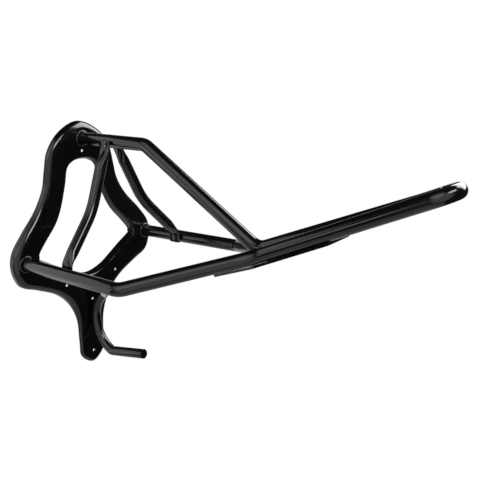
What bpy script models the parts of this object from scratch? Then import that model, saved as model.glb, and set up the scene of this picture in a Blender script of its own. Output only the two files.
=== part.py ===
"""Wall-mounted saddle rack with a bridle hook, modelled as its separate steel pieces.

Frame: the wall is the plane Y = 0 and the rack reaches out along -Y.  X runs to the
right for a person facing the wall and Z is up.  Z = 0 is the height at which the two
arms leave the side lobes of the wall plate.  Lengths below are in millimetres.
"""
import math

import bmesh
import bpy
from mathutils import Matrix, Vector

MM = 0.001
FIT_GAP = 0.3                  # clearance left between pieces that touch

# ---- wall plate, a pressed sheet with its edges turned back to the wall
SHEET = 2.2
FACE_STANDOFF = 12.0           # front face in front of the wall
STEM_SETBACK = 5.0             # how far the stem dips back towards the wall
STEM_BEND = (-50.0, -120.0)    # heights between which the stem dips back
NECK_SETBACK = 4.0             # how far the upper half of the face dips back
NECK_BEND = (25.0, 75.0)
OUTER_EDGE_RADIUS = 7.0
STEM_EDGE_RADIUS = 3.4
STEM_EDGE_DEPTH = 4.6
LIP_EDGE_RADIUS = 3.0
LIP_DRAFT = 1.5                # the lip leans into the opening by this much
LIP_SETBACK = 1.5              # the opening's lip stops short of the wall
EDGE_STEPS = 4
OUTLINE_SPACING = 7.0
OPENING_SPACING = 7.0

# right-hand half of the plate's rear edge, from the top centre to the stem's tip: x, z
PLATE_EDGE = ((0, 160.5), (30, 149.5), (50, 128), (57, 103), (62, 82), (76, 58), (98, 34),
              (114, 13), (116.5, -8), (107, -29), (84, -39.5), (54, -54), (34, -73), (23, -99),
              (21, -130), (19, -151), (0, -164.5))
# right-hand half of the opening where it leaves the front face: x, z
OPENING_EDGE = ((0, 114), (14, 112), (25, 104), (30, 84), (38, 61), (50, 41), (67, 23),
                (80, 8), (80, -1), (62, -11), (44, -22), (24, -33), (0, -38.5))

SCREW_HOLE_RADIUS = 2.1
SCREW_HOLES = ((0.0, 123.5), (-43.0, -43.0), (43.0, -43.0), (0.0, -73.0), (0.0, -148.0))

# ---- tubes and rods
TUBE_RADIUS = 8.0
BRACE_RADIUS = 6.9
HOOK_RADIUS = 6.2

TOP_TUBE_Z = 139.0
TOP_BEND_REACH = 115.0         # distance of the upper bend from the wall
LOW_BEND = (-276.0, 37.5)      # y, z of the bend where the top tube drops between the arms
SHARP_BEND = 18.0
LOW_BEND_RADIUS = 22.0

LOBE_X = 103.0                 # where each arm meets the plate
ARM_END_GAP = 0.9              # the slanting cut end clears the plate all round
ELBOW = (109.0, -170.0, 0.0)   # outer bend of an arm
SHOULDER = (18.0, -280.0, 32.5)
SHOULDER_RADIUS = 55.0
NOSE_CENTRE = (-475.0, 118.4)  # y, z of the centre of the round nose
NOSE_HALF_GAP = SHOULDER[0]
TOP_TUBE_OVERRUN = 4.6         # how far the top tube runs past the nose's centre

BRACE_TOP = (-58.5, 136.0)     # y, z of the upper end
BRACE_KNEE = (43.5, -66.0, 61.0)
BRACE_FOOT = (-75.0, 0.0)      # y, z of the lower end
FLAT_HALF_WIDTH = 8.6
FLAT_HALF_THICKNESS = 2.2
FLAT_LENGTH = 12.0
FLARE_LENGTH = 20.0

HOOK_CENTRE = (-60.9, -98.0)   # y, z of the centre of the hook's round back
HOOK_BACK_RADIUS = 46.2
HOOK_SWEEP = (52.0, -62.0)     # degrees, from the upper end down to the peg
HOOK_PEG_LENGTH = 58.0
HOOK_PEG_RISE = 9.5            # degrees above level

TIE_THICKNESS = 3.0
TIE_REAR = (-38.0, 42.0)       # distance along the nose from the shoulder, half width
TIE_FLAP_RISE = 0.128          # slope of the rear flap, which follows the spreading arms
TIE_WAIST = (2.0, 23.0)
TIE_FRONT = (98.0, 23.0)
TIE_SLOTS = 4
TIE_SLOT_SIZE = (12.0, 24.0)   # along the nose, across the nose
TIE_SLOT_PITCH = 21.0
TIE_FIRST_SLOT = 18.0

WELD_HEIGHT = 4.2
WELD_WIDTH = 2.8

BLACK = (0.012, 0.012, 0.013, 1.0)


def start_scene():
    for old in list(bpy.data.objects):
        bpy.data.objects.remove(old, do_unlink=True)
    parts = bpy.data.collections.new("saddle_rack")
    cutters = bpy.data.collections.new("cutters")
    for collection in (parts, cutters):
        bpy.context.scene.collection.children.link(collection)
    return parts, cutters


PARTS, CUTTERS = start_scene()


def coated_steel(name, roughness=0.22, colour=BLACK):
    material = bpy.data.materials.new(name)
    material.use_nodes = True
    shader = material.node_tree.nodes["Principled BSDF"]
    shader.inputs["Base Color"].default_value = colour
    shader.inputs["Roughness"].default_value = roughness
    shader.inputs["Metallic"].default_value = 0.0
    return material


def add_object(name, data, material, collection=PARTS):
    data.name = name
    data.materials.append(material)
    piece = bpy.data.objects.new(name, data)
    collection.objects.link(piece)
    return piece


def metres(x, y, z):
    return Vector((x, y, z)) * MM


# ---------------------------------------------------------------- outlines and paths

def spline_point(p0, p1, p2, p3, t):
    """A point between p1 and p2 on the smooth curve through four points."""
    return 0.5 * (2 * p1 + (p2 - p0) * t + (2 * p0 - 5 * p1 + 4 * p2 - p3) * t * t
                  + (3 * p1 - p0 - 3 * p2 + p3) * t * t * t)


def smooth_ring(half, spacing, inward):
    """A smooth closed outline through a half outline and its mirror image.

    Each point comes with a unit normal; inward is 1 for the edge of a solid and -1 for
    the edge of an opening, so that the normal always points into the material.
    """
    points = [Vector(place) for place in half]
    points += [Vector((-x, z)) for x, z in reversed(half[1:-1])]
    count = len(points)
    path = []
    for i in range(len(half) - 1):
        corners = [points[(i + shift) % count] for shift in (-1, 0, 1, 2)]
        steps = max(1, round((corners[2] - corners[1]).length / spacing))
        path += [spline_point(*corners, step / steps) for step in range(steps)]
    path.append(points[len(half) - 1])
    path += [Vector((-place.x, place.y)) for place in reversed(path[1:-1])]
    ring = []
    for i, place in enumerate(path):
        along = (path[(i + 1) % len(path)] - path[i - 1]).normalized()
        ring.append((place, Vector((along.y, -along.x)) * inward))
    return ring


def bent_path(corners, radii, turn_step=12.0):
    """A run of straight tube whose inner corners are rounded to the given bend radii."""
    path = [corners[0]]
    for before, corner, after, radius in zip(corners, corners[1:], corners[2:], radii):
        come = (corner - before).normalized()
        leave = (after - corner).normalized()
        turn = come.angle(leave)
        start = corner - come * radius * math.tan(turn / 2)
        side = (leave - come * leave.dot(come)).normalized()
        steps = max(2, round(math.degrees(turn) / turn_step))
        for step in range(steps + 1):
            angle = turn * step / steps
            path.append(start + come * radius * math.sin(angle)
                        + side * radius * (1 - math.cos(angle)))
    path.append(corners[-1])
    return path


# ---------------------------------------------------------------- shapes

def tube(name, path, radius, material, resolution=4):
    """A bent round bar: a curve with a round bevel and closed ends."""
    curve = bpy.data.curves.new(name, "CURVE")
    curve.dimensions = "3D"
    curve.bevel_depth = radius * MM
    curve.bevel_resolution = resolution
    curve.use_fill_caps = True
    spline = curve.splines.new("POLY")
    spline.points.add(len(path) - 1)
    for point, place in zip(spline.points, path):
        point.co = (*(place * MM), 1.0)
    return add_object(name, curve, material)


def shade_smooth(mesh, angle=35.0):
    mesh.shade_smooth()
    mesh.set_sharp_from_angle(angle=math.radians(angle))


def smooth_step(value):
    value = min(1.0, max(0.0, value))
    return value * value * (3 - 2 * value)


def stem_share(z):
    """0 on the lobes, rising to 1 down the stem."""
    high, low = STEM_BEND
    return smooth_step((high - z) / (high - low))


def face_y(z):
    low, high = NECK_BEND
    neck_share = smooth_step((z - low) / (high - low))
    return -FACE_STANDOFF + STEM_SETBACK * stem_share(z) + NECK_SETBACK * neck_share


def edge_rings(ring, edge_radius, lean, back_y):
    """Rows of points that turn an outline from the flat face back to its rear edge."""
    rows = []
    for step in range(EDGE_STEPS + 1):
        angle = math.pi / 2 * step / EDGE_STEPS
        row = []
        for point, normal in ring:
            radius = edge_radius(point.y)
            inset = lean + radius * (1 - math.sin(angle))
            place = point + normal * inset
            row.append(metres(place.x, face_y(point.y) + radius * (1 - math.cos(angle)), place.y))
        rows.append(row)
    rows.append([metres(point.x, back_y(point.y), point.y) for point, normal in ring])
    return rows


def outer_radius(z):
    return OUTER_EDGE_RADIUS + (STEM_EDGE_RADIUS - OUTER_EDGE_RADIUS) * stem_share(z)


def outer_back(z):
    """The rim reaches the wall except along the stem, where it is only a short edge."""
    return (face_y(z) + STEM_EDGE_DEPTH) * stem_share(z)


def bridge_rows(bm, rows):
    loops = [[bm.verts.new(place) for place in row] for row in rows]
    for upper, lower in zip(loops, loops[1:]):
        count = len(upper)
        for i in range(count):
            j = (i + 1) % count
            bm.faces.new((upper[i], upper[j], lower[j], lower[i]))
    return loops[0]


def build_wall_plate(material):
    bm = bmesh.new()
    outer = bridge_rows(bm, edge_rings(smooth_ring(PLATE_EDGE, OUTLINE_SPACING, 1),
                                       outer_radius, 0.0, outer_back))
    opening = smooth_ring(OPENING_EDGE, OPENING_SPACING, -1)
    rear_lip = [(place - normal * LIP_DRAFT, normal) for place, normal in opening]
    inner = bridge_rows(bm, edge_rings(rear_lip, lambda z: LIP_EDGE_RADIUS,
                                       LIP_DRAFT, lambda z: -LIP_SETBACK))
    rim_edges = []
    for loop in (outer, inner):
        for i, vert in enumerate(loop):
            rim_edges.append(bm.edges.get((vert, loop[(i + 1) % len(loop)])))
    bmesh.ops.triangle_fill(bm, use_beauty=True, use_dissolve=False, edges=rim_edges)
    bmesh.ops.recalc_face_normals(bm, faces=bm.faces)
    face = min(bm.faces, key=lambda f: f.calc_center_median().y)
    if face.normal.y > 0:
        bmesh.ops.reverse_faces(bm, faces=bm.faces)
    mesh = bpy.data.meshes.new("wall_plate")
    bm.to_mesh(mesh)
    bm.free()
    plate = add_object("wall_plate", mesh, material)
    sheet = plate.modifiers.new("sheet", "SOLIDIFY")
    sheet.thickness = SHEET * MM
    sheet.offset = -1.0
    sheet.use_even_offset = True
    for index, (x, z) in enumerate(SCREW_HOLES):
        cut = plate.modifiers.new(f"screw_hole_{index + 1}", "BOOLEAN")
        cut.operation = "DIFFERENCE"
        cut.object = screw_hole_cutter(index + 1, x, z)
    shade_smooth(mesh)
    return plate


def screw_hole_cutter(number, x, z):
    bm = bmesh.new()
    bmesh.ops.create_cone(bm, cap_ends=True, segments=16, radius1=SCREW_HOLE_RADIUS * MM,
                          radius2=SCREW_HOLE_RADIUS * MM, depth=4 * FACE_STANDOFF * MM,
                          matrix=Matrix.Rotation(math.pi / 2, 4, "X"))
    mesh = bpy.data.meshes.new(f"screw_hole_{number}")
    bm.to_mesh(mesh)
    bm.free()
    cutter = bpy.data.objects.new(f"screw_hole_{number}", mesh)
    cutter.location = metres(x, 0, z)
    cutter.hide_render = True
    cutter.display_type = "WIRE"
    CUTTERS.objects.link(cutter)
    return cutter


def build_top_tube(material):
    nose_y, nose_z = NOSE_CENTRE
    shoulder_y, shoulder_z = SHOULDER[1:]
    along = Vector((0, nose_y - shoulder_y, nose_z - shoulder_z)).normalized()
    end = Vector((0, nose_y, nose_z)) + along * TOP_TUBE_OVERRUN
    corners = [Vector((0, face_y(TOP_TUBE_Z) - FIT_GAP, TOP_TUBE_Z)),
               Vector((0, -TOP_BEND_REACH, TOP_TUBE_Z)),
               Vector((0, *LOW_BEND)),
               end]
    return tube("top_tube", bent_path(corners, (SHARP_BEND, LOW_BEND_RADIUS)),
                TUBE_RADIUS, material)


def build_arm_tube(material):
    """One tube from the left lobe round the nose and back to the right lobe."""
    nose_y, nose_z = NOSE_CENTRE
    along = Vector((0, nose_y - SHOULDER[1], nose_z - SHOULDER[2])).normalized()
    front = Vector((0, nose_y, nose_z)) + along * NOSE_HALF_GAP
    right = [Vector((LOBE_X, -FACE_STANDOFF - ARM_END_GAP, 0)), Vector(ELBOW), Vector(SHOULDER),
             Vector((NOSE_HALF_GAP, front.y, front.z))]
    left = [Vector((-corner.x, corner.y, corner.z)) for corner in right]
    radii = [SHARP_BEND, SHOULDER_RADIUS, NOSE_HALF_GAP]
    path = bent_path(left + right[::-1], radii + radii[::-1])
    return tube("arm_tube", path, TUBE_RADIUS, material)


def brace_section(distance, total):
    """Half thickness and half width of a brace at a distance along it."""
    from_end = min(distance, total - distance)
    share = smooth_step((from_end - FLAT_LENGTH) / FLARE_LENGTH)
    thick = FLAT_HALF_THICKNESS + (BRACE_RADIUS - FLAT_HALF_THICKNESS) * share
    wide = FLAT_HALF_WIDTH + (BRACE_RADIUS - FLAT_HALF_WIDTH) * share
    return thick, wide


def arm_centre_x(y):
    """Distance of an arm's centre line from the middle plane, behind its elbow."""
    share = (y + FACE_STANDOFF) / (ELBOW[1] + FACE_STANDOFF)
    return LOBE_X + (ELBOW[0] - LOBE_X) * share


def brace_path(side):
    top_y, top_z = BRACE_TOP
    foot_y, foot_z = BRACE_FOOT
    top_x = TUBE_RADIUS + FIT_GAP + FLAT_HALF_THICKNESS
    foot_x = arm_centre_x(foot_y) - TUBE_RADIUS - FIT_GAP - FLAT_HALF_THICKNESS
    corners = [Vector((top_x, top_y, top_z + 5)), Vector((top_x, top_y, top_z - 4)),
               Vector(BRACE_KNEE), Vector((foot_x, foot_y, foot_z + 9)),
               Vector((foot_x, foot_y, foot_z - 6))]
    corners = [Vector((side * corner.x, corner.y, corner.z)) for corner in corners]
    return bent_path(corners, (12.0, 90.0, 12.0), turn_step=8.0)


def even_stations(path, spacing):
    """Points at an even spacing along a path, with the distance of each."""
    lengths = [0.0]
    for start, end in zip(path, path[1:]):
        lengths.append(lengths[-1] + (end - start).length)
    count = max(2, round(lengths[-1] / spacing))
    stations = []
    piece = 0
    for step in range(count + 1):
        wanted = lengths[-1] * step / count
        while piece < len(path) - 2 and lengths[piece + 1] < wanted:
            piece += 1
        span = lengths[piece + 1] - lengths[piece]
        share = (wanted - lengths[piece]) / span if span else 0.0
        stations.append((path[piece].lerp(path[piece + 1], share), wanted))
    return stations, lengths[-1]


def build_brace(name, side, material):
    """A round bar with both ends pressed flat, lofted ring by ring."""
    stations, total = even_stations(brace_path(side), 5.0)
    sides = 12
    bm = bmesh.new()
    rings = []
    for index, (place, distance) in enumerate(stations):
        before = stations[max(0, index - 1)][0]
        after = stations[min(len(stations) - 1, index + 1)][0]
        along = (after - before).normalized()
        wide_axis = (Vector((0, 1, 0)) - along * along.y).normalized()
        thick_axis = along.cross(wide_axis)
        thick, wide = brace_section(distance, total)
        ring = []
        for step in range(sides):
            angle = 2 * math.pi * step / sides
            offset = thick_axis * thick * math.cos(angle) + wide_axis * wide * math.sin(angle)
            ring.append(bm.verts.new((place + offset) * MM))
        rings.append(ring)
    for upper, lower in zip(rings, rings[1:]):
        for i in range(sides):
            j = (i + 1) % sides
            bm.faces.new((upper[i], upper[j], lower[j], lower[i]))
    bm.faces.new(rings[0])
    bm.faces.new(rings[-1])
    bmesh.ops.recalc_face_normals(bm, faces=bm.faces)
    mesh = bpy.data.meshes.new(name)
    bm.to_mesh(mesh)
    bm.free()
    shade_smooth(mesh)
    return add_object(name, mesh, material)


def build_bridle_hook(material):
    centre_y, centre_z = HOOK_CENTRE
    path = []
    start, end = HOOK_SWEEP
    steps = 14
    for step in range(steps + 1):
        angle = math.radians(start + (end - start) * step / steps)
        path.append(Vector((0, centre_y + HOOK_BACK_RADIUS * math.cos(angle),
                            centre_z + HOOK_BACK_RADIUS * math.sin(angle))))
    rise = math.radians(HOOK_PEG_RISE)
    peg_end = path[-1] + Vector((0, -math.cos(rise), math.sin(rise))) * HOOK_PEG_LENGTH
    foot = bent_path([path[-2], path[-1], peg_end], (7.0,))
    return tube("bridle_hook", path[:-1] + foot[1:], HOOK_RADIUS, material)


def nose_frame():
    """Axes of the sloping nose: origin at the shoulder, X along the nose, Z out of its top."""
    nose_y, nose_z = NOSE_CENTRE
    along = Vector((0, nose_y - SHOULDER[1], nose_z - SHOULDER[2])).normalized()
    across = Vector((1, 0, 0))
    up = across.cross(along) if across.cross(along).z > 0 else along.cross(across)
    frame = Matrix((along, up.cross(along), up)).transposed().to_4x4()
    frame.translation = metres(0, SHOULDER[1], SHOULDER[2])
    return frame


def rounded_slot(length, width, steps=6):
    """Outline of a slot with round ends, its long way across the nose."""
    radius = length / 2
    half = width / 2 - radius
    points = []
    for end, first in ((1, 0.0), (-1, math.pi)):
        for step in range(steps + 1):
            angle = first + math.pi * step / steps
            points.append((radius * math.cos(angle), end * half + radius * math.sin(angle)))
    return points


def build_tie_plate(material):
    """A flat strip under the nose with plain cross slots and a slightly bent rear flap."""
    curve = bpy.data.curves.new("tie_plate_outline", "CURVE")
    curve.dimensions = "2D"
    curve.fill_mode = "BOTH"
    curve.extrude = TIE_THICKNESS / 2 * MM
    stations = (TIE_REAR, TIE_WAIST, TIE_FRONT)
    outline = [(along, half) for along, half in stations]
    outline += [(along, -half) for along, half in reversed(stations)]
    outlines = [outline]
    for number in range(TIE_SLOTS):
        middle = TIE_FIRST_SLOT + TIE_SLOT_PITCH * number
        outlines.append([(middle + x, y) for x, y in rounded_slot(*TIE_SLOT_SIZE)])
    for points in outlines:
        spline = curve.splines.new("POLY")
        spline.points.add(len(points) - 1)
        spline.use_cyclic_u = True
        for point, (x, y) in zip(spline.points, points):
            point.co = (x * MM, y * MM, 0.0, 1.0)
    flat = bpy.data.objects.new("tie_plate_outline", curve)
    PARTS.objects.link(flat)
    mesh = bpy.data.meshes.new_from_object(flat.evaluated_get(bpy.context.evaluated_depsgraph_get()))
    bpy.data.objects.remove(flat)
    bm = bmesh.new()
    bm.from_mesh(mesh)
    bmesh.ops.remove_doubles(bm, verts=bm.verts, dist=0.00001)
    bmesh.ops.bisect_plane(bm, geom=bm.verts[:] + bm.edges[:] + bm.faces[:],
                           plane_co=(0, 0, 0), plane_no=(1, 0, 0))
    for vert in bm.verts:
        vert.co.z += max(0.0, -vert.co.x) * TIE_FLAP_RISE
    bm.to_mesh(mesh)
    bm.free()
    plate = add_object("tie_plate", mesh, material)
    drop = TUBE_RADIUS + FIT_GAP + TIE_THICKNESS / 2
    plate.matrix_world = nose_frame() @ Matrix.Translation((0, 0, -drop * MM))
    return plate


def build_weld_ring(name, x, z, material):
    """The bead that runs round a tube where it meets the wall plate."""
    inner = TUBE_RADIUS + FIT_GAP
    profile = [(inner, FIT_GAP + WELD_HEIGHT), (inner + 0.35 * WELD_WIDTH, FIT_GAP + 0.8 * WELD_HEIGHT),
               (inner + 0.8 * WELD_WIDTH, FIT_GAP + 0.35 * WELD_HEIGHT), (inner + WELD_WIDTH, FIT_GAP),
               (inner, FIT_GAP)]
    segments = 24
    bm = bmesh.new()
    rings = []
    for step in range(segments):
        angle = 2 * math.pi * step / segments
        rings.append([bm.verts.new(metres(radius * math.cos(angle), -height, radius * math.sin(angle)))
                      for radius, height in profile])
    for index, ring in enumerate(rings):
        following = rings[(index + 1) % segments]
        for i in range(len(profile)):
            j = (i + 1) % len(profile)
            bm.faces.new((ring[i], ring[j], following[j], following[i]))
    bmesh.ops.recalc_face_normals(bm, faces=bm.faces)
    mesh = bpy.data.meshes.new(name)
    bm.to_mesh(mesh)
    bm.free()
    shade_smooth(mesh)
    bead = add_object(name, mesh, material)
    bead.location = metres(x, face_y(z), z)
    return bead


def build_rack():
    gloss = coated_steel("gloss_black_coating")
    bead = coated_steel("coated_weld", roughness=0.35)
    build_wall_plate(gloss)
    build_top_tube(gloss)
    build_arm_tube(gloss)
    build_brace("brace_left", -1, gloss)
    build_brace("brace_right", 1, gloss)
    build_bridle_hook(gloss)
    build_tie_plate(gloss)
    build_weld_ring("weld_top_tube", 0, TOP_TUBE_Z, bead)
    build_weld_ring("weld_arm_left", -LOBE_X, 0, bead)
    build_weld_ring("weld_arm_right", LOBE_X, 0, bead)


build_rack()
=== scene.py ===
# %% [markdown]
# # A wall-mounted saddle rack
#
# The rack is one welded steel piece with a gloss black coating: a pressed wall plate,
# a bent top tube, one long tube that forms both arms and the round nose, two braces
# with flattened ends, and a hook for the bridle.  Nothing moves, so every piece rides
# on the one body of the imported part.

import math

import bmesh
import bpy
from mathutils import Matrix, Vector


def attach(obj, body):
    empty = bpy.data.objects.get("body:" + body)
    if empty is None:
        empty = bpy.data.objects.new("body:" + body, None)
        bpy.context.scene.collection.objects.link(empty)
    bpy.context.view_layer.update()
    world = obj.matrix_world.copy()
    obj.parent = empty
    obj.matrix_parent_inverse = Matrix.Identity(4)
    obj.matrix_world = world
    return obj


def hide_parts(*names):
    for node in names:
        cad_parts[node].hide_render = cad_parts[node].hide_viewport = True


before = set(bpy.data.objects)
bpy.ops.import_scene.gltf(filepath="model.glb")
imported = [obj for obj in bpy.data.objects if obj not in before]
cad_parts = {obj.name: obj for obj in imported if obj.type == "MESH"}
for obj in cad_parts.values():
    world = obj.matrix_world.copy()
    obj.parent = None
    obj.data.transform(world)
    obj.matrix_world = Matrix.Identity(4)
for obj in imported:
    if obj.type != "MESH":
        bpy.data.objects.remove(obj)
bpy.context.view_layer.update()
print("nodes in the frame:", sorted(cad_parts))

# %% [markdown]
# ## Lengths
#
# A maker thinks in millimetres and Blender in metres, so every length below is in
# millimetres and is turned into metres at the last moment.  The wall is the plane
# Y = 0, the rack reaches out along -Y, and Z = 0 is the height of the side lobes.

# %% Helpers for lengths and selection
MM = 0.001


def metres(x, y, z):
    return Vector((x, y, z)) * MM


def deselect_everything():
    """Operators act on all that is selected, and loading leaves the frame selected."""
    if bpy.context.object and bpy.context.object.mode != "OBJECT":
        bpy.ops.object.mode_set(mode="OBJECT")
    bpy.ops.object.select_all(action="DESELECT")


def select_only(*pieces):
    deselect_everything()
    for piece in pieces:
        piece.select_set(True)
    bpy.context.view_layer.objects.active = pieces[0]


def name_piece(piece, name):
    piece.name = name
    piece.data.name = name
    return piece


deselect_everything()
print("lengths are in millimetres")

# %% [markdown]
# ## Camera
#
# A medium lens from the left and a little above shows the plate, both braces and the
# whole length of the nose.

# %% Camera
LENS = 52.39
SENSOR_WIDTH = 36.0
CAMERA_PLACE = (-0.6322, -0.7040, 0.2514)
LOOK_DOWN, LOOK_RIGHT = 15.72, 55.23     # degrees from level, and from straight ahead

camera_data = bpy.data.cameras.new("camera")
camera_data.lens = LENS
camera_data.sensor_width = SENSOR_WIDTH
camera = bpy.data.objects.new("camera", camera_data)
bpy.context.scene.collection.objects.link(camera)
camera.location = CAMERA_PLACE
camera.rotation_euler = (math.radians(90 - LOOK_DOWN), 0.0, math.radians(-LOOK_RIGHT))
bpy.context.scene.camera = camera
print("camera lens", round(camera_data.lens, 1), "mm")

# %% [markdown]
# ## Floor and light
#
# Gloss black shows nothing but what it reflects, so the light decides how the rack
# looks.  The room is nearly dark, which keeps the plate's face black.  Four washes
# light it: one up on the left, a broad one on the camera's side, a narrow one that
# draws a line along the nose, and one straight behind the rack that rims its tubes.
# A large panel behind the plate lays the broad grey along the arms and misses the
# nose, two soft boxes draw the white shapes on the rounded edges, and the pale floor
# fills from below.  The standard view keeps white paper white without thinning the
# black edges that stand in front of it.

# %% Pale floor and paper
PAPER = 1.0                # brightness of clean white paper
FLOOR_MIRRORED = 0.60      # brightness of the floor as the gloss mirrors it
FLOOR_SIZE = (1.8, 2.4, 1.0)
FLOOR_X, FLOOR_Y, FLOOR_Z = 0.15, 0.2, -0.75
WHITE = (1.0, 1.0, 1.0, 1.0)

bpy.context.scene.view_settings.view_transform = "Standard"


def add_node(tree, kind, **settings):
    node = tree.nodes.new(kind)
    for key, value in settings.items():
        setattr(node, key, value)
    return node


def seen_and_mirrored(tree, kind, seen, mirrored):
    """One brightness to the eye, and another in the gloss of the rack."""
    mix = add_node(tree, "ShaderNodeMixShader")
    ray = add_node(tree, "ShaderNodeLightPath")
    tree.links.new(ray.outputs["Is Camera Ray"], mix.inputs["Fac"])
    sources = []
    for socket, strength in ((1, mirrored), (2, seen)):
        source = add_node(tree, kind)
        source.inputs["Color"].default_value = WHITE
        source.inputs["Strength"].default_value = strength
        tree.links.new(source.outputs[0], mix.inputs[socket])
        sources.append(source)
    return mix, sources[0]


paper = bpy.data.materials.new("pale_paper")
paper.use_nodes = True
paper.node_tree.nodes.clear()
paper_end = add_node(paper.node_tree, "ShaderNodeOutputMaterial")
paper_mix, _ = seen_and_mirrored(paper.node_tree, "ShaderNodeEmission", PAPER,
                                 FLOOR_MIRRORED)
paper.node_tree.links.new(paper_mix.outputs["Shader"], paper_end.inputs["Surface"])

bpy.ops.mesh.primitive_plane_add(size=1.0)
floor = name_piece(bpy.context.object, "floor")
select_only(floor)
bpy.ops.transform.resize(value=FLOOR_SIZE)
bpy.ops.transform.rotate(value=-camera.rotation_euler.z, orient_axis="Z",
                         center_override=(0.0, 0.0, 0.0))
bpy.ops.transform.translate(value=(FLOOR_X, FLOOR_Y, FLOOR_Z))
floor.data.materials.append(paper)
print("floor at", FLOOR_Z, "m")

# %% Soft wash of the room
ROOM_DIM = 0.03
WASHES = (
    # middle of the wash, cosines where it starts and is full, brightness, above floor
    ((-0.77, 0.08, 0.63), 0.84, 0.95, 1.25, True),
    ((-0.82, -0.50, 0.10), 0.50, 0.85, 0.95, False),
    ((-0.845, 0.534, 0.0), 0.991, 0.998, 3.0, False),
    ((0.74, 0.62, -0.25), 0.90, 0.97, 0.75, False),
)
HORIZON = (-0.20, 0.00)    # height of a direction where an upper wash fades in

world = bpy.data.worlds.new("studio")
bpy.context.scene.world = world
world.use_nodes = True
sky = world.node_tree
sky.nodes.clear()
world_end = add_node(sky, "ShaderNodeOutputWorld")
world_mix, room = seen_and_mirrored(sky, "ShaderNodeBackground", PAPER, ROOM_DIM)
sky.links.new(world_mix.outputs["Shader"], world_end.inputs["Surface"])
heading = add_node(sky, "ShaderNodeTexCoord").outputs["Generated"]


def fade(value, start, full, brightness):
    node = add_node(sky, "ShaderNodeMapRange", interpolation_type="SMOOTHSTEP")
    node.inputs["From Min"].default_value = start
    node.inputs["From Max"].default_value = full
    node.inputs["To Max"].default_value = brightness
    sky.links.new(value, node.inputs["Value"])
    return node.outputs["Result"]


def combine(operation, first, second):
    node = add_node(sky, "ShaderNodeMath", operation=operation)
    for socket, value in enumerate((first, second)):
        if isinstance(value, float):
            node.inputs[socket].default_value = value
        else:
            sky.links.new(value, node.inputs[socket])
    return node.outputs["Value"]


height = add_node(sky, "ShaderNodeSeparateXYZ")
sky.links.new(heading, height.inputs["Vector"])
above_floor = fade(height.outputs["Z"], *HORIZON, 1.0)
total = ROOM_DIM
for middle, start, full, brightness, upper in WASHES:
    towards = add_node(sky, "ShaderNodeVectorMath", operation="DOT_PRODUCT")
    towards.inputs[1].default_value = Vector(middle).normalized()
    sky.links.new(heading, towards.inputs[0])
    wash = fade(towards.outputs["Value"], start, full, brightness)
    if upper:
        wash = combine("MULTIPLY", wash, above_floor)
    total = combine("ADD", wash, total)
sky.links.new(total, room.inputs["Strength"])
print("washes:", len(WASHES))

# %% Soft boxes
POWER_PER_BRIGHTNESS = 4.0     # watts per square metre, for a brightness of 1


def soft_box(name, place, target, size, radiance):
    """A rectangular light of even brightness, aimed at a point and unseen itself."""
    data = bpy.data.lights.new(name, "AREA")
    data.shape = "RECTANGLE"
    data.size, data.size_y = size
    data.energy = POWER_PER_BRIGHTNESS * radiance * size[0] * size[1]
    light = bpy.data.objects.new(name, data)
    bpy.context.scene.collection.objects.link(light)
    light.location = place
    aim = Vector(target) - Vector(place)
    light.rotation_euler = aim.to_track_quat("-Z", "Y").to_euler()
    light.visible_camera = False
    return light


SOFT_BOXES = (
    # name, place, aimed at, width and height, brightness
    ("right_box", (1.10, -0.62, 0.80), (0.0, -0.05, 0.12), (1.3, 1.0), 6.5),
    ("rear_panel", (-0.58, 0.62, 0.04), (-0.58, -0.20, 0.04), (0.95, 1.28), 1.0),
    ("front_box", (-0.15, -1.25, 1.00), (0.0, -0.05, 0.10), (0.7, 0.35), 8.0),
)
for box in SOFT_BOXES:
    soft_box(*box)
print("soft boxes:", [box[0] for box in SOFT_BOXES])

# %% [markdown]
# ## The coating
#
# The real finish is a gloss black powder coat.  It is smooth, but never a perfect
# mirror: it has a faint orange-peel ripple a few millimetres across, dust nibs that
# were trapped as it cured, and light handling scuffs that dull it in patches.  All
# of it is built on Object coordinates, so the pattern is in real millimetres.

# %% Patterns and bumps


def noise(tree, coordinates, scale, detail=2.0, roughness=0.5):
    node = add_node(tree, "ShaderNodeTexNoise")
    node.inputs["Scale"].default_value = scale
    node.inputs["Detail"].default_value = detail
    node.inputs["Roughness"].default_value = roughness
    tree.links.new(coordinates, node.inputs["Vector"])
    return node.outputs["Fac"]


def ramp(tree, value, low, high, low_value, high_value):
    """Map a stretch of a pattern onto a stretch of values, clamped at both ends."""
    node = add_node(tree, "ShaderNodeMapRange", clamp=True)
    node.inputs["From Min"].default_value = low
    node.inputs["From Max"].default_value = high
    node.inputs["To Min"].default_value = low_value
    node.inputs["To Max"].default_value = high_value
    tree.links.new(value, node.inputs["Value"])
    return node.outputs["Result"]


def bump(tree, height, depth, under=None):
    """Raise a pattern by a depth in millimetres, on top of any bump below it."""
    node = add_node(tree, "ShaderNodeBump")
    node.inputs["Strength"].default_value = 1.0
    node.inputs["Distance"].default_value = depth * MM
    tree.links.new(height, node.inputs["Height"])
    if under is not None:
        tree.links.new(under, node.inputs["Normal"])
    return node.outputs["Normal"]


def blend(tree, share, first, second):
    """Mix two colours; each is a fixed colour or a socket."""
    node = add_node(tree, "ShaderNodeMix", data_type="RGBA")
    tree.links.new(share, node.inputs["Factor"])
    for name, colour in (("A", first), ("B", second)):
        if isinstance(colour, tuple):
            node.inputs[name].default_value = colour
        else:
            tree.links.new(colour, node.inputs[name])
    return node.outputs["Result"]


# %% Gloss black coating
COATING_IOR = 1.5
CLEAN_BLACK = (0.0012, 0.0012, 0.0013, 1.0)
DUSTY_BLACK = (0.0030, 0.0029, 0.0028, 1.0)
SCUFF_DULLING = 0.10       # roughness that handling adds
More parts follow.
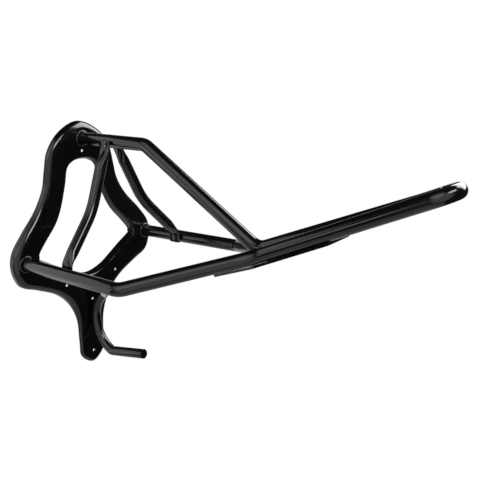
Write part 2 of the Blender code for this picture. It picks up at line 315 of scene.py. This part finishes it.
# pattern repeats in each metre
DUST_SCALE, SCUFF_SCALE, RIPPLE_SCALE = 14.0, 38.0, 260.0
NIB_SCALE, NIB_PATCH_SCALE, WELD_LUMP_SCALE = 120.0, 45.0, 520.0
NIB_REACH = 0.09           # size of a nib in its cell of the pattern


def powder_coat(name, peel, roughness, nib_height, bead_height=0.0, speck_tone=0.01):
    """Gloss black coating with ripple, nibs and scuffs."""
    material = bpy.data.materials.new(name)
    material.use_nodes = True
    tree = material.node_tree
    shader = tree.nodes["Principled BSDF"]
    shader.inputs["IOR"].default_value = COATING_IOR
    place = add_node(tree, "ShaderNodeTexCoord").outputs["Object"]

    nibs = add_node(tree, "ShaderNodeTexVoronoi")
    nibs.inputs["Scale"].default_value = NIB_SCALE
    tree.links.new(place, nibs.inputs["Vector"])
    dots = ramp(tree, nibs.outputs["Distance"], 0.0, NIB_REACH, 1.0, 0.0)
    patches = ramp(tree, noise(tree, place, NIB_PATCH_SCALE, 1.0), 0.60, 0.66, 0.0, 1.0)
    rare = add_node(tree, "ShaderNodeMath", operation="MULTIPLY")
    tree.links.new(dots, rare.inputs[0])
    tree.links.new(patches, rare.inputs[1])
    specks = rare.outputs["Value"]

    dust = ramp(tree, noise(tree, place, DUST_SCALE, 4.0), 0.35, 0.75, 0.0, 1.0)
    black = blend(tree, dust, CLEAN_BLACK, DUSTY_BLACK)
    speck_colour = (speck_tone, speck_tone, speck_tone, 1.0)
    colour = blend(tree, specks, black, speck_colour)
    tree.links.new(colour, shader.inputs["Base Color"])

    scuffs = ramp(tree, noise(tree, place, SCUFF_SCALE, 6.0, 0.62), 0.40, 0.72,
                  roughness, roughness + SCUFF_DULLING)
    tree.links.new(scuffs, shader.inputs["Roughness"])

    surface = bump(tree, noise(tree, place, RIPPLE_SCALE, 1.0), peel)
    surface = bump(tree, specks, nib_height, surface)
    if bead_height:
        lumps = noise(tree, place, WELD_LUMP_SCALE, 3.0, 0.6)
        surface = bump(tree, lumps, bead_height, surface)
    tree.links.new(surface, shader.inputs["Normal"])
    return material


plate_coat = powder_coat("plate_coating", peel=0.002, roughness=0.08, nib_height=0.30,
                         speck_tone=0.25)
tube_coat = powder_coat("tube_coating", peel=0.0015, roughness=0.12, nib_height=0.06)
weld_coat = powder_coat("weld_coating", peel=0.02, roughness=0.22, nib_height=0.2,
                        bead_height=0.25)
print("coatings:", plate_coat.name, tube_coat.name, weld_coat.name)

# %% Finish a piece


def finish_piece(piece, coat, slot, *stands_for, smooth_angle=35.0):
    """Smooth the shading, coat the piece and tie it to the one body."""
    select_only(piece)
    bpy.ops.object.transform_apply(location=True, rotation=True, scale=True)
    bpy.ops.object.shade_smooth_by_angle(angle=math.radians(smooth_angle))
    piece.data.materials.clear()
    piece.data.materials.append(coat)
    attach(piece, "root")
    if stands_for:
        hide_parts(*stands_for)
    deselect_everything()
    print(piece.name, len(piece.data.polygons), "faces")
    return piece


# %% [markdown]
# ## Wall plate
#
# The plate is one pressed sheet.  Its outer edge and the edge of its large opening
# are turned back to the wall, and the face dips a little along the stem and across
# the upper lobe.  A press makes it by drawing a flat ring, so it is modelled the same
# way: one closed loop of edges is extruded again and again, from the rear rim over
# the rounded edge, across the face and down the opening's lip.  Both outlines have the
# same number of points, so every strip is made of clean four-sided faces, which a
# gloss finish needs.

# %% Outlines of the plate
PLATE_EDGE_SIDE = ((0, 160.5), (30, 149.5), (50, 128), (57, 103), (62, 82), (76, 58),
                   (98, 34), (114, 13), (116.5, -8))
PLATE_EDGE_HOLLOW = ((116.5, -8), (107, -29), (84, -39.5), (54, -54), (34, -73))
PLATE_EDGE_STEM = ((34, -73), (23, -99), (21, -130), (19, -151), (0, -164.5))
OPENING_SIDE = ((0, 114), (14, 112), (25, 104), (30, 84), (38, 61), (50, 41),
                (67, 23), (80, 8), (80.5, 3))
OPENING_CORNER = ((80.5, 3), (80, -1), (62, -11), (44, -22), (24, -33))
OPENING_FLOOR = ((24, -33), (0, -38.5))
RUN_POINTS = (44, 26, 26)      # points along the three runs of each outline
DENSE_STEPS = 24               # points on the curve between two control points


def spline_point(p0, p1, p2, p3, t):
    """A point between p1 and p2 on the smooth curve through four points."""
    return 0.5 * (2 * p1 + (p2 - p0) * t + (2 * p0 - 5 * p1 + 4 * p2 - p3) * t * t
                  + (3 * p1 - p0 - 3 * p2 + p3) * t * t * t)


def fine_curve(runs):
    """Dense points along each run of control points, each from where one ended."""
    half = [Vector(place) for place in runs[0]]
    for run in runs[1:]:
        half += [Vector(place) for place in run[1:]]
    ring = half + [Vector((-place.x, place.y)) for place in reversed(half[1:-1])]
    dense, first = [], 0
    for run in runs:
        points = []
        for i in range(first, first + len(run) - 1):
            corners = [ring[(i + shift) % len(ring)] for shift in (-1, 0, 1, 2)]
            points += [spline_point(*corners, step / DENSE_STEPS)
                       for step in range(DENSE_STEPS)]
        first += len(run) - 1
        dense.append(points + [half[first]])
    return dense


def even_points(run, count):
    """The run's points again, evenly spaced by length, without the last one."""
    lengths = [0.0]
    for start, end in zip(run, run[1:]):
        lengths.append(lengths[-1] + (end - start).length)
    spaced, piece = [], 0
    for step in range(count):
        wanted = lengths[-1] * step / count
        while lengths[piece + 1] < wanted:
            piece += 1
        share = (wanted - lengths[piece]) / (lengths[piece + 1] - lengths[piece])
        spaced.append(run[piece].lerp(run[piece + 1], share))
    return spaced


def closed_outline(runs, inward):
    """Points round a mirrored outline, each with a unit normal into the metal."""
    half = []
    for run, count in zip(fine_curve(runs), RUN_POINTS):
        half += even_points(run, count)
    half.append(Vector(runs[-1][-1]))
    path = half + [Vector((-place.x, place.y)) for place in reversed(half[1:-1])]
    normals = []
    for i in range(len(path)):
        along = (path[(i + 1) % len(path)] - path[i - 1]).normalized()
        normals.append(Vector((along.y, -along.x)) * inward)
    return path, normals


plate_edge, plate_inward = closed_outline(
    (PLATE_EDGE_SIDE, PLATE_EDGE_HOLLOW, PLATE_EDGE_STEM), 1)
opening_edge, opening_inward = closed_outline(
    (OPENING_SIDE, OPENING_CORNER, OPENING_FLOOR), -1)
print("outline points:", len(plate_edge), len(opening_edge))

# %% Depth of the face
FACE_STANDOFF = 12.0
STEM_SETBACK = 5.0
NECK_SETBACK = 4.0
STEM_EDGE_DEPTH = 4.6
STEM_BEND_TOP, STEM_BEND_RUN = -50.0, 70.0     # height where the bend starts, its run
NECK_BEND_FOOT, NECK_BEND_RUN = 25.0, 50.0


def smooth_step(value):
    value = min(1.0, max(0.0, value))
    return value * value * (3 - 2 * value)


def stem_share(z):
    return smooth_step((STEM_BEND_TOP - z) / STEM_BEND_RUN)


def face_y(z):
    neck_share = smooth_step((z - NECK_BEND_FOOT) / NECK_BEND_RUN)
    return -FACE_STANDOFF + STEM_SETBACK * stem_share(z) + NECK_SETBACK * neck_share


def rim_y(z):
    """The rim reaches the wall, but along the stem it is only a short edge."""
    return (face_y(z) + STEM_EDGE_DEPTH) * stem_share(z)


print("face depth at the lobes, neck and stem:", face_y(0), face_y(120), face_y(-150))

# %% Rows of the pressing
EDGE_REACH = 9.0           # how far the rounded edge runs in over the face
STEM_EDGE_REACH = 4.0
EDGE_DEPTH = 7.5           # how far back the rounding goes
EDGE_STRAIGHT = 0.6        # least straight part left behind it
EDGE_ROWS = 8
FACE_ROWS = 10
LIP_RADIUS = 3.0
LIP_ROWS = 5
LIP_LEAN = 1.5
LIP_REAR_Y = -1.5


def edge_size(z):
    """Reach over the face, and depth, of the rounded outer edge."""
    share = stem_share(z)
    reach = EDGE_REACH + (STEM_EDGE_REACH - EDGE_REACH) * share
    depth = min(EDGE_DEPTH, rim_y(z) - face_y(z) - EDGE_STRAIGHT)
    return reach, depth


def plate_rows():
    """Every row of points, from the rear rim over the face to the back of the lip."""
    rows = [[metres(p.x, rim_y(p.y), p.y) for p in plate_edge]]
    for step in range(EDGE_ROWS + 1):
        angle = math.pi / 2 * step / EDGE_ROWS
        row = []
        for p, inward in zip(plate_edge, plate_inward):
            reach, depth = edge_size(p.y)
            spot = p + inward * reach * (1 - math.cos(angle))
            y = face_y(p.y) + depth * (1 - math.sin(angle))
            row.append(metres(spot.x, y, spot.y))
        rows.append(row)
    for step in range(1, FACE_ROWS + 1):
        row = []
        for i, (p, inward) in enumerate(zip(plate_edge, plate_inward)):
            start = p + inward * edge_size(p.y)[0]
            end = opening_edge[i] + opening_inward[i] * LIP_RADIUS
            spot = start.lerp(end, step / (FACE_ROWS + 1))
            row.append(metres(spot.x, face_y(spot.y), spot.y))
        rows.append(row)
    for step in range(LIP_ROWS + 1):
        angle = math.pi / 2 * step / LIP_ROWS
        row = []
        for p, inward in zip(opening_edge, opening_inward):
            spot = p + inward * LIP_RADIUS * (1 - math.sin(angle))
            y = face_y(p.y) + LIP_RADIUS * (1 - math.cos(angle))
            row.append(metres(spot.x, y, spot.y))
        rows.append(row)
    rear = [p - inward * LIP_LEAN for p, inward in zip(opening_edge, opening_inward)]
    rows.append([metres(p.x, LIP_REAR_Y, p.y) for p in rear])
    return rows


# %% Extrude a loop row by row
START_RADIUS = 0.01        # metres; the circle is only a start
MERGE_DISTANCE = 0.00001   # metres


def place_selected(piece, row):
    """Put the selected loop's points, in their order round the loop, on a row."""
    mesh = bmesh.from_edit_mesh(piece.data)
    mesh.verts.ensure_lookup_table()
    fresh = [vert for vert in mesh.verts if vert.select]
    for vert, place in zip(fresh, row):
        vert.co = place
    bmesh.update_edit_mesh(piece.data)


def extrude_rows(name, rows):
    """Start from a circle of edges and extrude it through every row of points."""
    deselect_everything()
    bpy.ops.mesh.primitive_circle_add(vertices=len(rows[0]), radius=START_RADIUS)
    piece = name_piece(bpy.context.object, name)
    bpy.ops.object.mode_set(mode="EDIT")
    bpy.ops.mesh.select_all(action="SELECT")
    place_selected(piece, rows[0])
    for row in rows[1:]:
        bpy.ops.mesh.extrude_edges_move()
        place_selected(piece, row)
    bpy.ops.mesh.select_all(action="SELECT")
    bpy.ops.mesh.remove_doubles(threshold=MERGE_DISTANCE)
    bpy.ops.mesh.normals_make_consistent(inside=False)
    bpy.ops.object.mode_set(mode="OBJECT")
    return piece


wall_plate = extrude_rows("pressed_wall_plate", plate_rows())
print("pressed ring:", len(wall_plate.data.polygons), "faces")

# %% Sheet thickness and screw holes
SHEET = 2.2
SCREW_HOLES = ((0.0, 123.5), (-43.0, -43.0), (43.0, -43.0), (0.0, -73.0),
               (0.0, -148.0))
SCREW_HOLE_RADIUS = 2.1
DRILL_SIDES = 24
DRILL_LENGTH = 0.05        # metres, well past both sides of the sheet


def face_the_room(piece):
    """Turn the sheet's normals to the room if they point to the wall."""
    front = min(piece.data.polygons, key=lambda face: face.center.y)
    if front.normal.y > 0:
        select_only(piece)
        bpy.ops.object.mode_set(mode="EDIT")
        bpy.ops.mesh.select_all(action="SELECT")
        bpy.ops.mesh.flip_normals()
        bpy.ops.object.mode_set(mode="OBJECT")


def apply_modifiers(piece):
    select_only(piece)
    for modifier in list(piece.modifiers):
        bpy.ops.object.modifier_apply(modifier=modifier.name)


def drill(piece, x, z):
    deselect_everything()
    bpy.ops.mesh.primitive_cylinder_add(vertices=DRILL_SIDES,
                                        radius=SCREW_HOLE_RADIUS * MM,
                                        depth=DRILL_LENGTH, location=metres(x, 0, z),
                                        rotation=(math.pi / 2, 0, 0))
    drill_bit = bpy.context.object
    hole = piece.modifiers.new("screw_hole", "BOOLEAN")
    hole.operation = "DIFFERENCE"
    hole.object = drill_bit
    apply_modifiers(piece)
    bpy.data.objects.remove(drill_bit)


face_the_room(wall_plate)
sheet = wall_plate.modifiers.new("sheet", "SOLIDIFY")
sheet.thickness = SHEET * MM
sheet.offset = -1.0
sheet.use_even_offset = True
apply_modifiers(wall_plate)
for hole_x, hole_z in SCREW_HOLES:
    drill(wall_plate, hole_x, hole_z)
finish_piece(wall_plate, plate_coat, "gloss_black_coating", "wall_plate")

# %% [markdown]
# ## Bent tubes
#
# A tube bender works along a straight length, turns it about a roller, and goes on.
# The model is made in the same order: a circle of edges is extruded straight, then
# spun about each bend's centre, and the two ends are closed.

# %% Tube bender
TUBE_RADIUS = 8.0
TUBE_SIDES = 48
BEND_STEP = 4.0            # degrees of bend in each spun section
SHORTEST_RUN = 0.00005     # metres; a shorter straight run is left out
CUT_EDGE_WIDTH = 0.7
CUT_EDGE_SEGMENTS = 3
CUT_EDGE_ANGLE = 60        # degrees; only corners sharper than this are rounded


def cap_ends(piece):
    """Close both open ends of the tube being edited and point its faces outwards."""
    bpy.ops.mesh.select_all(action="DESELECT")
    bpy.ops.mesh.select_non_manifold(extend=False)
    bpy.ops.mesh.fill_holes(sides=0)
    bpy.ops.mesh.select_all(action="SELECT")
    bpy.ops.mesh.normals_make_consistent(inside=False)
    bpy.ops.object.mode_set(mode="OBJECT")
    rounding = piece.modifiers.new("cut_edges", "BEVEL")
    rounding.limit_method = "ANGLE"
    rounding.angle_limit = math.radians(CUT_EDGE_ANGLE)
    rounding.width = CUT_EDGE_WIDTH * MM
    rounding.segments = CUT_EDGE_SEGMENTS
    apply_modifiers(piece)


def extrude_to(start, end):
    if (end - start).length > SHORTEST_RUN:
        bpy.ops.mesh.extrude_edges_move(TRANSFORM_OT_translate={"value": end - start})


def bend_tube(name, corners, radii, tube_radius=TUBE_RADIUS):
    """A round tube along straight runs, with a bend of given radius at each corner."""
    points = [metres(*corner) for corner in corners]
    heading = (points[1] - points[0]).normalized()
    deselect_everything()
    bpy.ops.mesh.primitive_circle_add(
        vertices=TUBE_SIDES, radius=tube_radius * MM, location=points[0],
        rotation=heading.to_track_quat("Z", "Y").to_euler())
    piece = name_piece(bpy.context.object, name)
    bpy.ops.object.transform_apply(location=True, rotation=True, scale=True)
    bpy.ops.object.mode_set(mode="EDIT")
    bpy.ops.mesh.select_all(action="SELECT")
    here = points[0]
    for corner, following, radius in zip(points[1:], points[2:], radii):
        leave = (following - corner).normalized()
        turn = heading.angle(leave)
        bend_start = corner - heading * radius * MM * math.tan(turn / 2)
        extrude_to(here, bend_start)
        inward = (leave - heading * leave.dot(heading)).normalized()
        steps = max(3, round(math.degrees(turn) / BEND_STEP))
        bpy.ops.mesh.spin(steps=steps, angle=turn,
                          center=bend_start + inward * radius * MM,
                          axis=leave.cross(heading).normalized())
        here = corner + leave * radius * MM * math.tan(turn / 2)
        heading = leave
    extrude_to(here, points[-1])
    mesh = bmesh.from_edit_mesh(piece.data)
    ring = [vert.co for vert in mesh.verts if vert.select]
    miss = (sum(ring, Vector()) / len(ring) - points[-1]).length
    print(name, "ends", round(miss / MM, 3), "mm from its mark")
    cap_ends(piece)
    return piece


# %% [markdown]
# ### Top tube
#
# It leaves the top lobe level, drops at a sharp bend, and runs on up between the two
# arms to the nose, so a saddle rests on three bars side by side.

# %% Bend the top tube
FIT_GAP = 0.3              # between a tube and a piece that is welded to it
TOP_TUBE_Z = 139.0
TOP_BEND = (0, -115.0, TOP_TUBE_Z)
LOW_BEND = (0, -276.0, 37.5)
LOW_BEND_RADIUS = 22.0
SHARP_BEND = 18.0
SHOULDER = (18.0, -280.0, 32.5)
NOSE_CENTRE = Vector((0, -475.0, 118.4))
NOSE_ALONG = (NOSE_CENTRE - Vector((0, *SHOULDER[1:]))).normalized()
TOP_TUBE_OVERRUN = 4.6     # how far the tube runs past the nose's centre

top_tube_start = (0, face_y(TOP_TUBE_Z) - FIT_GAP, TOP_TUBE_Z)
top_tube_end = tuple(NOSE_CENTRE + NOSE_ALONG * TOP_TUBE_OVERRUN)
top_tube = bend_tube("bent_top_tube",
                     [top_tube_start, TOP_BEND, LOW_BEND, top_tube_end],
                     [SHARP_BEND, LOW_BEND_RADIUS])
finish_piece(top_tube, tube_coat, "gloss_black_coating", "top_tube")

# %% [markdown]
# ### Arm tube
#
# One tube forms both arms.  It leaves one side lobe, turns in at the elbow and at the
# shoulder, rounds the nose and comes back to the other lobe as its mirror image.

# %% Bend the arm tube
LOBE_X = 103.0
ARM_START_Y = -12.9        # the cut end slants, so it stands clear of the plate
ELBOW = (109.0, -170.0, 0.0)
SHOULDER_RADIUS = 55.0

nose_front = NOSE_CENTRE + NOSE_ALONG * SHOULDER[0]
right_arm = [(LOBE_X, ARM_START_Y, 0.0), ELBOW, SHOULDER,
             (SHOULDER[0], nose_front.y, nose_front.z)]
left_arm = [(-x, y, z) for x, y, z in right_arm]
arm_radii = [SHARP_BEND, SHOULDER_RADIUS, SHOULDER[0]]
arm_tube = bend_tube("bent_arm_tube", left_arm + right_arm[::-1],
                     arm_radii + arm_radii[::-1])
finish_piece(arm_tube, tube_coat, "gloss_black_coating", "arm_tube")

# %% [markdown]
# ### Bridle hook
#
# A thinner solid rod is rolled into a round back, which is welded to the stem, and
# then kinked forward into a straight peg.

# %% Bend the bridle hook
HOOK_RADIUS = 6.2
HOOK_CENTRE = (-60.9, -98.0)
HOOK_BACK_RADIUS = 46.2
HOOK_TOP, HOOK_FOOT = 52.0, -62.0      # degrees on the round back
HOOK_TOP_STRAIGHT = 0.2    # a short straight end for the bender to start from
BEND_SLACK = 0.1           # and a slightly tighter bend, so that both runs fit
KINK_REACH, KINK_RADIUS = 3.0, 7.0
PEG_LENGTH, PEG_RISE = 58.0, 9.5       # the peg's rise in degrees


def on_hook(degrees, reach=HOOK_BACK_RADIUS):
    angle = math.radians(degrees)
    return Vector((0, HOOK_CENTRE[0] + reach * math.cos(angle),
                   HOOK_CENTRE[1] + reach * math.sin(angle)))


half_turn = math.radians(HOOK_TOP - HOOK_FOOT) / 2
crossing = on_hook((HOOK_TOP + HOOK_FOOT) / 2, HOOK_BACK_RADIUS / math.cos(half_turn))
hook_top, hook_foot = on_hook(HOOK_TOP), on_hook(HOOK_FOOT)
rise = math.radians(PEG_RISE)
peg_way = Vector((0, -math.cos(rise), math.sin(rise)))
kink = hook_foot + (hook_foot - crossing).normalized() * KINK_REACH
hook_start = hook_top + (hook_top - crossing).normalized() * HOOK_TOP_STRAIGHT
hook_corners = (hook_start, crossing, kink, kink + peg_way * PEG_LENGTH)
bridle_hook = bend_tube("bent_bridle_hook", [tuple(corner) for corner in hook_corners],
                        [HOOK_BACK_RADIUS - BEND_SLACK, KINK_RADIUS], HOOK_RADIUS)
finish_piece(bridle_hook, tube_coat, "gloss_black_coating", "bridle_hook")

# %% [markdown]
# ## Braces
#
# Each brace is a round bar whose ends were pressed flat in a vice so that they lie
# against the tubes they are welded to.  The flat ends need a changing section, which
# a spin can't give, so the bar is extruded ring by ring and each ring is sized on
# the way: round in the middle, wide and thin at both ends.

# %% Shape a brace
BRACE_RADIUS = 6.9
FLAT_HALF_WIDTH = 8.6
FLAT_HALF_THICKNESS = 2.2
FLAT_LENGTH = 12.0
FLARE_LENGTH = 20.0
BRACE_SIDES = 32
BRACE_TOP_Y, BRACE_KNEE, BRACE_FOOT_Y = -58.5, (43.5, -66.0, 61.0), -75.0
BRACE_TOP_HEIGHTS = (141.0, 132.0)     # of the flat end and of the bend below it
BRACE_FOOT_HEIGHTS = (9.0, -6.0)
BRACE_BENDS = (12.0, 90.0, 12.0)
BRACE_TURN_STEP, BRACE_SPACING = 4.0, 2.5


def bent_path(corners, radii, turn_step):
    """Points along straight runs with a rounded bend at each inner corner."""
    path = [corners[0]]
    for before, corner, after, radius in zip(corners, corners[1:], corners[2:], radii):
        come = (corner - before).normalized()
        leave = (after - corner).normalized()
        turn = come.angle(leave)
        start = corner - come * radius * math.tan(turn / 2)
        side = (leave - come * leave.dot(come)).normalized()
        steps = max(2, round(math.degrees(turn) / turn_step))
        for step in range(steps + 1):
            angle = turn * step / steps
            path.append(start + come * radius * math.sin(angle)
                        + side * radius * (1 - math.cos(angle)))
    path.append(corners[-1])
    return path


def stations_along(path, spacing):
    """Evenly spaced points on a path, each with its distance from the start."""
    lengths = [0.0]
    for start, end in zip(path, path[1:]):
        lengths.append(lengths[-1] + (end - start).length)
    count = round(lengths[-1] / spacing)
    stations, piece = [], 0
    for step in range(count + 1):
        wanted = lengths[-1] * step / count
        while piece < len(path) - 2 and lengths[piece + 1] < wanted:
            piece += 1
        share = (wanted - lengths[piece]) / (lengths[piece + 1] - lengths[piece])
        stations.append((path[piece].lerp(path[piece + 1], share), wanted))
    return stations, lengths[-1]


def brace_rings(side):
    """Rings of points down a brace, from the top tube to the inside of its arm."""
    beside = TUBE_RADIUS + FIT_GAP + FLAT_HALF_THICKNESS
    splay = (ELBOW[0] - LOBE_X) / (-ELBOW[1] - FACE_STANDOFF)
    arm_x = LOBE_X + splay * (-BRACE_FOOT_Y - FACE_STANDOFF)
    corners = ([(beside, BRACE_TOP_Y, z) for z in BRACE_TOP_HEIGHTS] + [BRACE_KNEE]
               + [(arm_x - beside, BRACE_FOOT_Y, z) for z in BRACE_FOOT_HEIGHTS])
    corners = [Vector((side * x, y, z)) for x, y, z in corners]
    path = bent_path(corners, BRACE_BENDS, BRACE_TURN_STEP)
    stations, total = stations_along(path, BRACE_SPACING)
    rings = []
    for index, (place, distance) in enumerate(stations):
        before = stations[max(0, index - 1)][0]
        after = stations[min(len(stations) - 1, index + 1)][0]
        along = (after - before).normalized()
        wide_way = (Vector((0, 1, 0)) - along * along.y).normalized()
        thick_way = along.cross(wide_way)
        from_end = min(distance, total - distance)
        share = smooth_step((from_end - FLAT_LENGTH) / FLARE_LENGTH)
        thick = FLAT_HALF_THICKNESS + (BRACE_RADIUS - FLAT_HALF_THICKNESS) * share
        wide = FLAT_HALF_WIDTH + (BRACE_RADIUS - FLAT_HALF_WIDTH) * share
        ring = []
        for step in range(BRACE_SIDES):
            angle = 2 * math.pi * step / BRACE_SIDES
            ring.append((place + thick_way * thick * math.cos(angle)
                         + wide_way * wide * math.sin(angle)) * MM)
        rings.append(ring)
    return rings


def make_brace(name, side, stands_for):
    brace = extrude_rows(name, brace_rings(side))
    select_only(brace)
    bpy.ops.object.mode_set(mode="EDIT")
    cap_ends(brace)
    return finish_piece(brace, tube_coat, "gloss_black_coating", stands_for)


make_brace("flattened_brace_left", -1, "brace_left")
make_brace("flattened_brace_right", 1, "brace_right")

# %% [markdown]
# ## Tie plate
#
# The flat strip under the nose is already the right shape in the frame, so it only
# takes the coating.

# %% Coat the tie plate
tie_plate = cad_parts["tie_plate"]
for material_slot in tie_plate.material_slots:
    material_slot.material = plate_coat
print("tie plate coated, slots:", len(tie_plate.material_slots))

# %% [markdown]
# ## Weld beads
#
# Where a tube meets the plate, a bead of molten steel froze in small overlapping
# scales.  A ring primitive gives its path, a displacement by a lumpy pattern breaks
# its outline, and the coating on top rounds it all off.

# %% Weld round a tube's root
BEAD_RADIUS = 1.5
BEAD_STAND_OFF = 0.9       # from the tube's side to the middle of the bead
BEAD_LIFT = 1.0            # from the plate's face to the middle of the bead
BEAD_LUMP_SIZE, BEAD_LUMP_HEIGHT = 3.0, 0.8
BEAD_SMOOTH_ANGLE = 60


def lumpy(piece, size, strength):
    """Break a smooth bead's outline with a coarse pattern."""
    pattern = bpy.data.textures.new("bead_lumps", "CLOUDS")
    pattern.noise_scale = size * MM
    pattern.noise_depth = 1
    lumps = piece.modifiers.new("lumps", "DISPLACE")
    lumps.texture = pattern
    lumps.texture_coords = "OBJECT"
    origin = bpy.data.objects.new("bead_origin", None)
    bpy.context.scene.collection.objects.link(origin)
    lumps.texture_coords_object = origin
    lumps.strength = strength * MM
    lumps.mid_level = 0.5
    apply_modifiers(piece)
    bpy.data.objects.remove(origin)


def root_weld(name, x, z, stands_for):
    deselect_everything()
    bpy.ops.mesh.primitive_torus_add(
        major_radius=(TUBE_RADIUS + BEAD_STAND_OFF) * MM, minor_radius=BEAD_RADIUS * MM,
        major_segments=72, minor_segments=16,
        location=metres(x, face_y(z) - BEAD_LIFT, z), rotation=(math.pi / 2, 0, 0))
    bead = name_piece(bpy.context.object, name)
    bpy.ops.object.transform_apply(location=True, rotation=True, scale=True)
    lumpy(bead, BEAD_LUMP_SIZE, BEAD_LUMP_HEIGHT)
    return finish_piece(bead, weld_coat, "coated_weld", stands_for,
                        smooth_angle=BEAD_SMOOTH_ANGLE)


root_weld("bead_top_tube", 0.0, TOP_TUBE_Z, "weld_top_tube")
root_weld("bead_arm_left", -LOBE_X, 0.0, "weld_arm_left")
root_weld("bead_arm_right", LOBE_X, 0.0, "weld_arm_right")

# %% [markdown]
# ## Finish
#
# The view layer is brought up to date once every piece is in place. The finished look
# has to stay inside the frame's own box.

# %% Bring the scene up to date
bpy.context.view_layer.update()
